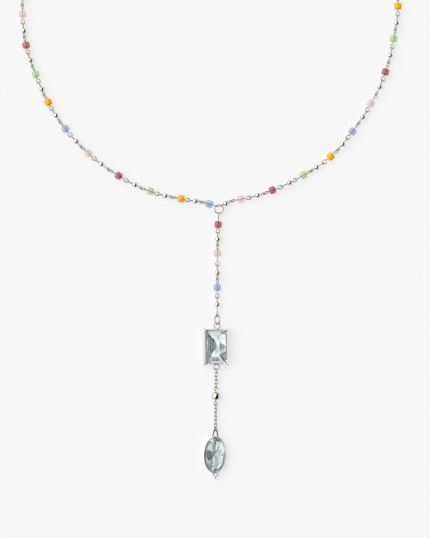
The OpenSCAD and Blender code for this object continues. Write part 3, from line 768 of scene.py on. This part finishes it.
def pressed_glass(tint, colours):
    """Pressed and fire-polished soda glass, coloured through: clear at the edges, with faint streaks of denser
    colour from the rod that it was pressed from."""
    material, tree = new_material(f"pressed_glass_{tint}")
    if tree:
        colour = getattr(colours, tint)
        streaks = grain(tree, 2.2, Detail=2, Distortion=0.6)
        glass = add_node(
            tree, "BsdfPrincipled",
            {"Roughness": 0.04, "IOR": 1.51, "Transmission Weight": CLARITY[tint]},
            {"Base Color": (blend(tree, streaks, [c ** 1.25 for c in colour], colour), "Result")})
        output(tree, lit_through(tree, glass, [c ** 0.3 for c in colour]))
    return material


def cut_crystal(colours):
    """Lead crystal, machine-cut and polished: clear with a cool cast and sharp facet edges."""
    material, tree = new_material("cut_crystal")
    if tree:
        crystal = add_node(
            tree, "BsdfPrincipled",
            {"Base Color": (*colours.crystal, 1), "Roughness": 0, "IOR": 1.55, "Transmission Weight": 1})
        output(tree, lit_through(tree, crystal, (1, 1, 1)))
    return material


def foil_with_painted_flashes(colours):
    """The silvered back of a crystal, seen through the stone. Each facet carries a painted reflection: a share of
    light painted on the foil, from dark to pale.
    """
    material, tree = new_material("foil_with_painted_flashes")
    if tree:
        painted_flash = add_node(tree, "Attribute", {"attribute_name": "painted_flash"})
        colour = blend(tree, painted_flash, colours.foil_painted_dark, colours.foil_painted_pale)
        foil = add_node(
            tree, "BsdfPrincipled", {"Metallic": 0.15, "Roughness": 0.35},
            {"Base Color": (colour, "Result")})
        output(tree, foil)
    return material


def matte_floor(colours):
    """A matt sheet of opal acrylic, lit from below as on a light table, so shadows on it stay faint."""
    material, tree = new_material("opal_acrylic_sheet")
    if tree:
        sheet = add_node(
            tree, "BsdfPrincipled",
            {"Base Color": (*[c / 4.6 for c in colours.floor], 1), "Roughness": 0.9, "Specular IOR Level": 0.1,
             "Emission Color": (*colours.floor, 1), "Emission Strength": 0.745})
        output(tree, sheet)
    return material


# Pieces

def finish_wire(name, bm, node, colours):
    """Makes a piece of plated wire, shaded smooth round the wire."""
    finish_piece(name, bm, [painted_shade_metal(colours.wire)], [node], 50)


def finish_stone(name, bm, node, colours):
    """Makes a piece of a cut stone with its foiled back, shaded flat."""
    finish_piece(name, bm, [cut_crystal(colours), foil_with_painted_flashes(colours)], [node], 0)


def drop_wire_ends(i):
    return drop_hook(i - 1), drop_hook(i)


def on_drop(i):
    upper, lower = drop_wire_ends(i)
    return along(upper + (lower - upper).normalized() * DROP_ROWS[i - 1][2], lower)


class NecklaceBuilder:
    """What every piece's operator shares."""
    bl_options = {"REGISTER", "UNDO"}

    def execute(self, context):
        self.build(context.scene.necklace_sizes, context.scene.necklace_colours)
        return {"FINISHED"}


class NECKLACE_OT_beads(NecklaceBuilder, Operator):
    """Builds the glass beads of the loop and the drop"""
    bl_idname = "necklace.beads"
    bl_label = "Glass beads"

    def build(self, sizes, colours):
        rows = []
        for tint in TINTS:
            places = []
            for k in range(BEAD_PLACES):
                if k != CLASP_PLACE and tint_of(k) == tint:
                    p, q = left_of_bead(k), right_of_bead(k)
                    places.append(along(seat_on(p, q, bead_place(k), Reach.bead), q))
            rows.append((f"beads_{tint}", f"neck_beads_{tint}", tint, places))
        for i, tint in ((1, "plum"), (3, "pink"), (5, "blue")):
            rows.append((f"bead_of_drop_{tint}", f"drop_bead_{tint}", tint, [on_drop(i)]))
        shape = bead_shape(sizes)
        for name, node, tint, places in rows:
            bm = bmesh.new()
            for matrix in places:
                copy_in(bm, shape, matrix)
            finish_piece(name, bm, [pressed_glass(tint, colours)], [node])


class NECKLACE_OT_balls(NecklaceBuilder, Operator):
    """Builds the silver balls of the loop and the drop"""
    bl_idname = "necklace.balls"
    bl_label = "Silver balls"

    def build(self, sizes, colours):
        places = []
        for k in range(BEAD_PLACES):
            if k != CLASP_PLACE:
                p, q = left_of_ball(k), right_of_ball(k)
                places.append(along(seat_on(p, q, ball_place(k), Reach.ball), q))
        rows = [("balls", "neck_balls", sizes.ball_d, 28, places)]
        for n in (1, 2, 3):
            rows.append((f"ball_of_drop_{n}", f"drop_ball_{n}", sizes.ball_d, 32, [on_drop(2 * n)]))
        p, q = UPPER_CHAIN[1], LOWER_CHAIN[0]
        places = [along(seat_on(p, q, BIG_BALL_C, Reach.big_ball), q)]
        rows.append(("large_ball", "big_ball", sizes.big_ball_d, 48, places))
        # The balls take the greyer silver, painted shade for their darker reflections.
        silver = polished_rhodium(colours.shaded_ball_silver, "ball_painted_shade_rhodium")
        for name, node, d, steps, places in rows:
            bm = bmesh.new()
            for matrix in places:
                drilled_ball(bm, mm(d), mm(sizes.hole_d), steps, matrix)
            finish_piece(name, bm, [silver], [node])


class NECKLACE_OT_wires(NecklaceBuilder, Operator):
    """Bends the eyed wires through the beads and balls"""
    bl_idname = "necklace.wires"
    bl_label = "Eyed wires"

    def build(self, sizes, colours):
        wire_r = mm(sizes.wire_d) / 2
        bead_eye, ball_eye = (EYE_LEN, EYE_W), (ROUND_EYE, ROUND_EYE)
        beads, balls = bmesh.new(), bmesh.new()
        for k in range(BEAD_PLACES):
            if k == CLASP_PLACE:
                continue
            eyed_wire(beads, left_of_bead(k), right_of_bead(k), *bead_eye, wire_r, *bead_turns(k))
            eyed_wire(balls, left_of_ball(k), right_of_ball(k), *ball_eye, wire_r, *ball_turns(k))
        finish_wire("bead_wires", beads, "neck_bead_wires", colours)
        finish_wire("ball_wires", balls, "neck_ball_wires", colours)
        for i in range(1, len(DROP_ROWS) + 1):
            bm = bmesh.new()
            upper, lower = drop_wire_ends(i)
            if i % 2:
                eyed_wire(bm, upper, lower, *bead_eye, wire_r, UPRIGHT if i == 1 else SLANT, OPEN)
            else:
                eyed_wire(bm, upper, lower, *ball_eye, wire_r, UPRIGHT, SLANT)
            finish_wire(f"wire_of_drop_{i}", bm, f"drop_wire_{i}", colours)
        bm = bmesh.new()
        eyed_wire(
            bm, UPPER_CHAIN[1], LOWER_CHAIN[0], *ball_eye, wire_r, UPPER_LINK_TURN + 90, 90 - LOWER_LINK_TURN)
        finish_wire("wire_of_large_ball", bm, "big_ball_wire", colours)


class NECKLACE_OT_rings(NecklaceBuilder, Operator):
    """Bends the jump rings"""
    bl_idname = "necklace.rings"
    bl_label = "Jump rings"

    def build(self, sizes, colours):
        wire_r = mm(sizes.ring_wire_d) / 2
        # each ring's piece and node, its outer diameter, the radius of its wire, and how it lies
        rows = (
            ("joining_ring", "join_ring", sizes.join_ring_d, wire_r, placed(*JOIN_C, 200)),
            ("ring_over_setting", "upper_ring", sizes.upper_ring_d, wire_r, placed(*UPPER_RING_C, -58, "Y")),
            ("ring_over_oval", "small_ring", sizes.small_ring_d, EYE_R,
             placed(*on_oval(0, SMALL_RING_Y), OVAL_TURN) @ placed(0, 0, 0, -60, "Y")),
        )
        for name, node, outer, r, matrix in rows:
            bm = bmesh.new()
            wire_ring(bm, mm(outer) / 2 - r, r, matrix)
            finish_wire(name, bm, node, colours)


class NECKLACE_OT_chains(NecklaceBuilder, Operator):
    """Links the two fine chains of the drop"""
    bl_idname = "necklace.chains"
    bl_label = "Fine chains"

    def build(self, sizes, colours):
        wire_r = mm(sizes.chain_wire_d) / 2
        hook = wire_r + WIRE_GAP / 2
        rows = (
            ("chain_over_ball", "upper_chain", UPPER_CHAIN, UPPER_LINKS, UPPER_LINK_TURN),
            ("chain_under_ball", "lower_chain", LOWER_CHAIN, LOWER_LINKS, LOWER_LINK_TURN),
        )
        for name, node, (p, q), count, turn in rows:
            bm = bmesh.new()
            step = (q - p).length / count
            for i in range(count):
                matrix = along(p, q) @ placed(i * step - hook, 0, 0, turn + 90 * i, "X")
                chain_link(bm, step + 2 * hook, CHAIN_LINK_W, wire_r, matrix)
            finish_wire(name, bm, node, colours)


class NECKLACE_OT_clasp(NecklaceBuilder, Operator):
    """Turns the barrel clasp at the back of the neck"""
    bl_idname = "necklace.clasp"
    bl_label = "Barrel clasp"

    def build(self, sizes, colours):
        p, q = right_of_ball(CLASP_PLACE - 1), left_of_bead(CLASP_PLACE + 1)
        reach = (q - p).length
        r, half = mm(sizes.clasp_d) / 2, mm(sizes.clasp_len) / 2
        bm = bmesh.new()
        eyed_wire(bm, p, q, EYE_LEN, EYE_W, CLASP_WIRE_R, OPEN, SLANT)
        stem = 0.3
        neck = reach / 2 - (EYE_LEN - Reach.hook + 0.5)
        groove = [(-0.16, r), (-0.08, r - 0.1), (0.08, r - 0.1), (0.16, r)]
        left = [(-neck, 0), (-neck, stem)] + [
            (x, y) for x, y in arc(r, math.degrees(math.asin(stem / r)), 90, 8, r - half)]
        profile = left + groove + [(-x, y) for x, y in reversed(left)]
        lathe(bm, profile, 40, along(p, q) @ placed(reach / 2, 0, 0))
        finish_piece("barrel_clasp", bm, [polished_rhodium(colours.silver)], ["clasp"])


def claw(bm, foot, side, end, sizes):
    """A round claw that leans from its foot over the stone's cut corner and ends in a polished tip."""
    out = CLAW_TIP_OUT - CORNER_CUT / 2
    tip = Vector((side * (mm(sizes.rect_w) / 2 + out), end * (mm(sizes.rect_l) / 2 + out), CLAW_TIP_Z))
    base = Vector((side * foot[0], foot[1], CLAW_FOOT_Z))
    run = (tip - base).length
    profile = arc(CLAW_R, 0, 90, 5) + [(run / 2, 0.4), (run - 0.55, 0.36), (run - 0.3, 0.42)]
    for a in map(math.radians, (-20, 0, 20, 40, 60, 75, 90)):
        profile.append((run + CLAW_TIP_R * math.sin(a), CLAW_TIP_R * math.cos(a)))
    lathe(bm, profile, 18, along(base, tip))


class NECKLACE_OT_rect_setting(NecklaceBuilder, Operator):
    """Builds the walled setting of the rectangular stone with its claws and wire loops"""
    bl_idname = "necklace.rect_setting"
    bl_label = "Rectangular setting"

    def build(self, sizes, colours):
        stone_w, stone_l = mm(sizes.rect_w), mm(sizes.rect_l)
        foot_w, foot_l = stone_w + 1.9, stone_l + 1
        rim_z, seat_z, hollow_z = 3, 1.9, 0.5
        bm = bmesh.new()
        block(bm, (foot_w, foot_l, 1.2), 0.6)

        def top_face():
            return max(bm.faces, key=lambda f: (round(f.calc_center_median().z, 3), -f.calc_area()))

        def lift(face, z, w=None, l=None):
            """Draws a face up or down to a height, and out or in to a width and length."""
            top = of_kind(bmesh.ops.extrude_face_region(bm, geom=[face])["geom"], BMFace)[0]
            if face.is_valid and face is not top:
                bmesh.ops.delete(bm, geom=[face], context="FACES_ONLY")
            now = top.calc_center_median()
            span = [max(v.co[i] for v in top.verts) - min(v.co[i] for v in top.verts) for i in (0, 1)]
            scale = ((w or span[0]) / span[0], (l or span[1]) / span[1], 1)
            bmesh.ops.translate(bm, vec=(0, 0, z - now.z), verts=list(top.verts))
            bmesh.ops.scale(bm, vec=scale, verts=list(top.verts))
            return top

        # the step from the foot to the wall, then the wall
        top = lift(top_face(), 1.28, foot_w - 0.3, foot_l - 0.12)
        top = lift(top, 1.42, foot_w - 0.42, foot_l - 0.14)
        lift(top, rim_z, stone_w + 0.7, stone_l + 0.6)
        outer = [e for e in bm.edges if e.calc_length() > 0.5]
        bevel(bm, outer, EDGE_BEVEL)
        # the bevel round the seat, the seat with its cut corners, then the hollow under the stone
        top = lift(top_face(), rim_z, stone_w + 0.46, stone_l + 0.46)
        top = lift(top, rim_z - 0.085, stone_w + 2 * SEAT_GAP, stone_l + 2 * SEAT_GAP)
        corners = list(top.verts)
        lift(top, seat_z)
        upright = [e for v in corners for e in v.link_edges if abs(e.verts[0].co.z - e.verts[1].co.z) > 1]
        bevel(bm, list(set(upright)), CORNER_CUT)
        seat = max((f for f in bm.faces if abs(f.calc_center_median().z - seat_z) < 0.01), key=BMFace.calc_area)
        lift(lift(seat, seat_z, stone_w - 1, stone_l - 1), hollow_z)
        walls = set(bm.faces)
        for side in (-1, 1):
            claw(bm, TOP_FOOT, side, 1, sizes)
            claw(bm, BOTTOM_FOOT, side, -1, sizes)
        wire_ring(bm, TOP_LOOP_R, LOOP_WIRE_R, placed(*TOP_LOOP_C), joint=0)
        wire_ring(bm, BOTTOM_LOOP_R, LOOP_WIRE_R, placed(*BOTTOM_LOOP_C), joint=0)
        # The claws and the wire loops take the darker wire colour, painted shade for the dark reflections on them.
        for face in set(bm.faces) - walls:
            face.material_index = 1
        metals = [polished_rhodium(colours.silver), painted_shade_metal(colours.wire)]
        finish_piece("setting_of_rectangle", bm, metals, ["rect_setting"], 30)


class NECKLACE_OT_rect_stone(NecklaceBuilder, Operator):
    """Cuts the rectangular crystal"""
    bl_idname = "necklace.rect_stone"
    bl_label = "Rectangular crystal"

    def build(self, sizes, colours):
        w, l = mm(sizes.rect_w) / 2, mm(sizes.rect_l) / 2
        corner = (w + l - CORNER_CUT) / math.sqrt(2)
        bm = bmesh.new()
        painted_flash = bm.loops.layers.float_color.new("painted_flash")
        block(bm, (2 * w, 2 * l, 3.4), 2.5)
        around = [(0, w), (180, w), (90, l), (270, l), (45, corner), (135, corner), (225, corner), (315, corner)]
        girdle = [(a, 90, d, 2.7) for a, d in around[4:]]
        crown = [(a, 56.3, d, 2.85) for a, d in around]
        crown += [(a, 38.7, d - 0.5, 3.6) for a, d in around]
        keel = 0.85
        # Each pavilion row ends with the painted share of light on its facet's foil, a painted reflection from dark
        # to pale.
        pavilion = [
            # the four broad facets that meet at the keel
            (90, 12, 0, keel, 0.68),
            (270, 12, 0, keel, 0.44),
            (180, 24, 0.15, keel, 0.36),
            (0, 24, 0.3, keel, 0.52),
            # the tier under the girdle
            (180, 46, w, 2.6, 0.1),
            (0, 46, w, 2.6, 0.08),
            (90, 42, l, 2.6, 0.75),
            (270, 42, l, 2.6, 0.48),
            (45, 46, corner, 2.6, 0.08),
            (135, 46, corner, 2.6, 0.6),
            (225, 46, corner, 2.6, 0.42),
            (315, 46, corner, 2.6, 0.2),
        ]
        cut_facets(bm, girdle + crown + pavilion, painted_flash)
        paint_flashes(bm, RECT_PAINTED_FLASHES, painted_flash)
        finish_stone("rectangular_crystal", bm, "rect_stone", colours)


class NECKLACE_OT_oval_setting(NecklaceBuilder, Operator):
    """Builds the rimmed cup of the oval stone with its bail and berries"""
    bl_idname = "necklace.oval_setting"
    bl_label = "Oval setting"

    def build(self, sizes, colours):
        w, l = mm(sizes.oval_w) / 2, mm(sizes.oval_l) / 2
        bm = bmesh.new()
        rows = [(w + out, l + out, z) for out, z in CUP_ROWS]
        ring = wire_start(bm, 1, 64, Matrix.Diagonal((rows[0][0], rows[0][1], 1, 1)))
        for (w0, l0, z0), (w1, l1, z1) in zip(rows, rows[1:]):
            ring = pull(bm, ring, (0, 0, z1 - z0))
            bmesh.ops.scale(bm, vec=(w1 / w0, l1 / l0, 1), verts=of_kind(ring, BMVert))
        cap(bm, ring)
        cup = set(bm.faces)
        ring = wire_start(bm, BAIL_WIRE_R, 12, placed(BAIL_R, BAIL_Y, WIRE_Z, 90, "X"))
        ring = bend(bm, ring, (0, BAIL_Y, WIRE_Z), 180, 14)
        cap(bm, ring)
        for side in (-1, 1):
            top = Vector((side * BAIL_R, BAIL_Y, WIRE_Z))
            foot = Vector((side * BAIL_FOOT[0], BAIL_FOOT[1], WIRE_Z))
            run = (foot - top).length
            lathe(bm, arc(BAIL_WIRE_R, 0, 90, 4) + [(run, BAIL_WIRE_R), (run, 0)], 12, along(top, foot))
        # The bail takes the near-black colour, painted shade for the dark reflections on it; the berries stay
        # bright silver.
        for face in set(bm.faces) - cup:
            face.material_index = 1
        for x, y in BERRIES:
            lathe(bm, arc(BERRY_R, 0, 180, 14), 28, placed(x, y, WIRE_Z))
        place(bm, 0, placed(*OVAL_C, OVAL_TURN))
        metals = [polished_rhodium(colours.silver), painted_shade_metal(colours.bail_painted_shade, "bail_painted_shade_metal")]
        finish_piece("setting_of_oval", bm, metals, ["oval_setting"], 40)


class NECKLACE_OT_oval_stone(NecklaceBuilder, Operator):
    """Cuts the oval crystal"""
    bl_idname = "necklace.oval_stone"
    bl_label = "Oval crystal"

    def build(self, sizes, colours):
        w, l = mm(sizes.oval_w) / 2, mm(sizes.oval_l) / 2
        bm = bmesh.new()
        painted_flash = bm.loops.layers.float_color.new("painted_flash")
        bmesh.ops.create_cone(
            bm, cap_ends=True, segments=64, radius1=1, radius2=1, depth=2.9, matrix=placed(0, 0, 2.15))

        def slope(rise):
            return math.degrees(math.atan(rise))

        crown = [(22.5 + 45 * i, slope(1.4 / 0.42), 1, 2.2) for i in range(8)]
        crown += [(11.25 + 22.5 * i, slope(4.4), 1, 2.2) for i in range(16)]
        crown += [(45 * i, slope(2.2), 0.62, 3.6) for i in range(8)]
        # The painted reflections of the pavilion's facets, as shares of light from the right side
        # counter-clockwise, starting at the stone's right-hand point
        main_painted_flashes = (0.48, 0.55, 0.38, 0.38, 0.28, 0.28, 0.35, 0.41)
        low_painted_flashes = (0.4, 0.8, 0.6, 0.4, 0.25, 0.5, 0.3, 0.25, 0.05, 0.15, 0.22, 0.22, 0.25, 0.5, 0.4, 0.36)
        pavilion = [(11.25 + 45 * i, slope(1.05), 0, 0.75, t) for i, t in enumerate(main_painted_flashes)]
        pavilion += [(22.5 * i, slope(1.9), 1, 2.0, t) for i, t in enumerate(low_painted_flashes)]
        cut_facets(bm, crown + pavilion, painted_flash)
        place(bm, 0, Matrix.Diagonal((w, l, 1, 1)))
        paint_flashes(bm, OVAL_PAINTED_FLASHES, painted_flash)
        place(bm, 0, placed(*OVAL_C, OVAL_TURN))
        finish_stone("oval_crystal", bm, "oval_stone", colours)


class NECKLACE_OT_stage(NecklaceBuilder, Operator):
    """Lays the floor and sets the light and the camera"""
    bl_idname = "necklace.stage"
    bl_label = "Floor, light and camera"

    def build(self, sizes, colours):
        scene = bpy.context.scene
        bm = bmesh.new()
        bmesh.ops.create_grid(bm, x_segments=1, y_segments=1, size=3)
        floor = add_shape("floor", bm, [matte_floor(colours)])

        # A wide soft box on the left, a pale wall on the right, and between them the dim room overhead, which the
        # metal mirrors as its dark core.
        key = bpy.data.lights.new("key", "SUN")
        key.energy = 2.4
        key.angle = math.radians(66)
        lamp = add_object("key", key)
        lamp.rotation_euler = Vector((-0.75, 0.4, 1)).to_track_quat("Z", "Y").to_euler()

        world = bpy.data.worlds.new("studio")
        world.use_nodes = True
        tree = world.node_tree
        tree.nodes.clear()
        where = add_node(tree, "TexCoord")

        def side(direction, near, far):
            """How far a direction of the sky lies past an edge that runs across it."""
            toward = add_node(tree, "VectorMath", {"operation": "DOT_PRODUCT"}, {0: (where, "Generated")})
            toward.inputs[1].default_value = direction
            return add_node(
                tree, "MapRange",
                {"interpolation_type": "SMOOTHSTEP", "From Min": near, "From Max": far},
                {"Value": (toward, "Value")})

        box, wall = side((1, -0.4, 0), 0, 0.1), side((1, 0, 0), 0.96, 0.86)
        room = add_node(tree, "Math", {"operation": "MULTIPLY"}, {0: (box, "Result"), 1: (wall, "Result")})
        dim = add_node(tree, "MapRange", {"To Min": 1.1, "To Max": 0.02}, {"Value": (room, "Value")})
        sky = add_node(tree, "Background", {"Color": (1, 1, 1, 1)}, {"Strength": (dim, "Result")})
        add_node(tree, "OutputWorld", links={"Surface": (sky, "Background")})
        scene.world = world
        scene.view_settings.view_transform = "Standard"

        # The photograph looks straight down, 0.36 mm to a pixel over 430 by 538 pixels. The origin lies at its
        # pixel 216, 346.5.
        pixel, height = 0.36 * MM, 1.2
        lens = bpy.data.cameras.new("camera")
        lens.sensor_fit = "VERTICAL"
        lens.sensor_height = 24
        lens.lens = lens.sensor_height * height / (538 * pixel)
        scene.camera = add_object("camera", lens)
        scene.camera.location = ((215 - 216) * pixel, (346.5 - 269) * pixel, height)


STEPS = (
    NECKLACE_OT_stage, NECKLACE_OT_beads, NECKLACE_OT_balls, NECKLACE_OT_wires, NECKLACE_OT_rings,
    NECKLACE_OT_chains, NECKLACE_OT_clasp, NECKLACE_OT_rect_setting, NECKLACE_OT_rect_stone,
    NECKLACE_OT_oval_setting, NECKLACE_OT_oval_stone,
)


class NECKLACE_PT_pieces(Panel):
    """Lists the necklace's pieces"""
    bl_idname = "NECKLACE_PT_pieces"
    bl_label = "Y necklace"
    bl_space_type = "VIEW_3D"
    bl_region_type = "UI"
    bl_category = "Necklace"

    def draw(self, context):
        layout = self.layout
        for step in STEPS:
            layout.operator(step.bl_idname)
        for group in (context.scene.necklace_sizes, context.scene.necklace_colours):
            box = layout.box()
            for key in group.__annotations__:
                box.prop(group, key)


CLASSES = (NecklaceSizes, NecklaceColours) + STEPS + (NECKLACE_PT_pieces,)


def register():
    for cls in CLASSES:
        bpy.utils.register_class(cls)
    bpy.types.Scene.necklace_sizes = PointerProperty(type=NecklaceSizes)
    bpy.types.Scene.necklace_colours = PointerProperty(type=NecklaceColours)


def unregister():
    del bpy.types.Scene.necklace_colours
    del bpy.types.Scene.necklace_sizes
    for cls in reversed(CLASSES):
        bpy.utils.unregister_class(cls)


def main():
    """Builds everything in order."""
    register()
    for step in STEPS:
        group, name = step.bl_idname.split(".")
        getattr(getattr(bpy.ops, group), name)()


if __name__ == "__main__":
    main()
